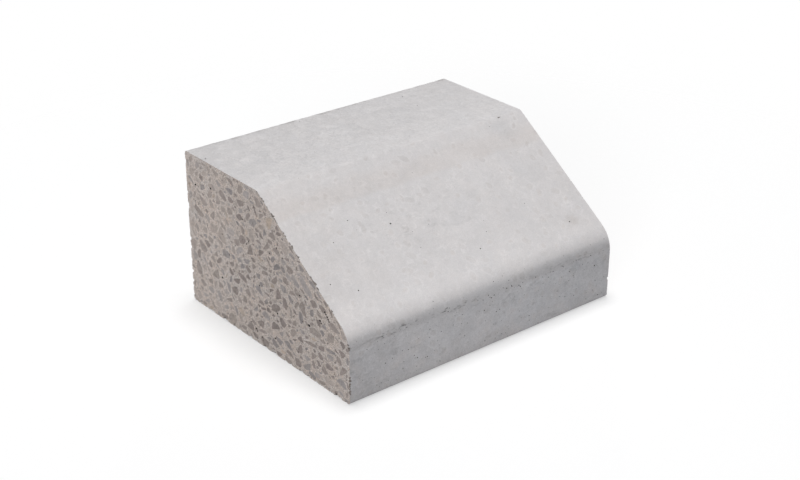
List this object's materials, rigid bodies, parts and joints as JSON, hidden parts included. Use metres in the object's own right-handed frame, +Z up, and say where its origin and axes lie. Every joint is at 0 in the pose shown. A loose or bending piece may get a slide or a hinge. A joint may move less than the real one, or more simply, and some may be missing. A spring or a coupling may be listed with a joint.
{
  "type": "concrete kerb stone",
  "caption": "Short sawn length of a low splayed concrete kerb with a level top, a round nose and a low upright front.",
  "frame": {"origin": "on the bed face, midway between the sawn ends and midway between the front and the back", "axes": "+X along the kerb's length, +Y from the road side to the back, +Z up from the bed to the level top"},
  "size_m": [0.303, 0.24, 0.15],
  "materials": {
    "concrete": "cast grey concrete with a fine skin and small air holes; both ends are sawn and show the crushed stone"
  },
  "bodies": {
    "root": {"kerb_stone": "concrete"}
  },
  "joints": []
}
